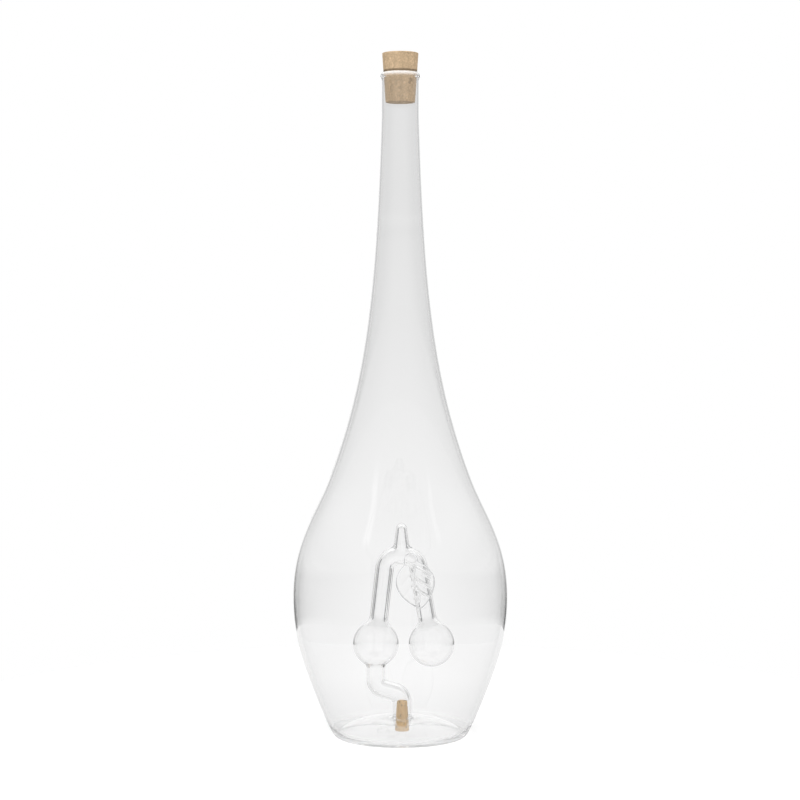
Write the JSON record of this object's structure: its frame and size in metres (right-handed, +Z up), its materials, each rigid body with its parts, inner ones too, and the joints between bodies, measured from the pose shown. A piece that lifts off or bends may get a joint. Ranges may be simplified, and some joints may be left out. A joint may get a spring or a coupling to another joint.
{
  "type": "corked two-chamber glass bottle",
  "caption": "Teardrop clear glass bottle with a corked mouth and a hollow glass cherry pair inside, filled and corked from below.",
  "frame": {"origin": "centre of the resting ring, on the table", "axes": "+Z up along the bottle's axis; -Y is the front, with the leaf before the stalks; +X is towards the cherry without the filling tube"},
  "size_m": [0.108, 0.108, 0.3409],
  "materials": {
    "blown_glass": "clear, fire polished",
    "tube_glass": "clear drawn tube",
    "leaf_glass": "clear pressed glass with raised veins",
    "large_cork": "matt agglomerated cork",
    "small_cork": "matt natural cork"
  },
  "bodies": {
    "vessel": {"belly_shell": "blown_glass", "neck_tube": "blown_glass", "mouth_lip": "blown_glass", "base_punt": "blown_glass", "filling_tube": "tube_glass", "left_cherry": "tube_glass", "left_stalk": "tube_glass", "stalk_crown": "tube_glass", "right_stalk": "tube_glass", "right_cherry": "tube_glass", "leaf": "leaf_glass"},
    "mouth_stopper": {"top_cork": "large_cork"},
    "base_stopper": {"base_cork": "small_cork"}
  },
  "joints": [
    {"name": "top_cork_pull", "type": "slide", "parent": "vessel", "child": "mouth_stopper", "axis": [0, 0, 1], "range_m": [0, 0.045]},
    {"name": "base_cork_pull", "type": "slide", "parent": "vessel", "child": "base_stopper", "axis": [0, 0, -1], "range_m": [0, 0.02]}
  ]
}
